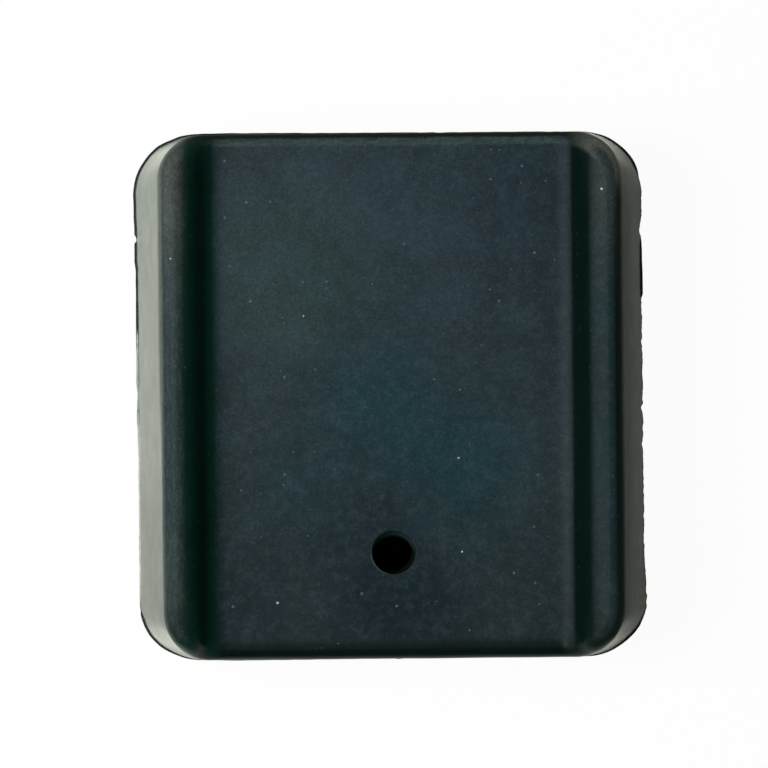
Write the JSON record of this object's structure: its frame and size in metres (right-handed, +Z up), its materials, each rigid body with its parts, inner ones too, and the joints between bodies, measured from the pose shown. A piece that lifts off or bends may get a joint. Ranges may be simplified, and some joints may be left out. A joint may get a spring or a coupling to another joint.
{
  "type": "rubber buffer",
  "caption": "Moulded rubber buffer block with a flat-floored channel between two rounded rails and a blind locating hole near one end.",
  "frame": {"origin": "middle of the flat underside", "axes": "+X across the two rails, +Y along the channel away from the hole, +Z up out of the channel floor"},
  "size_m": [0.101, 0.105, 0.03],
  "materials": {
    "rubber": "dark slate-green moulded rubber, satin with a dusty bloom"
  },
  "bodies": {
    "root": {"buffer_block": "rubber"}
  },
  "joints": []
}
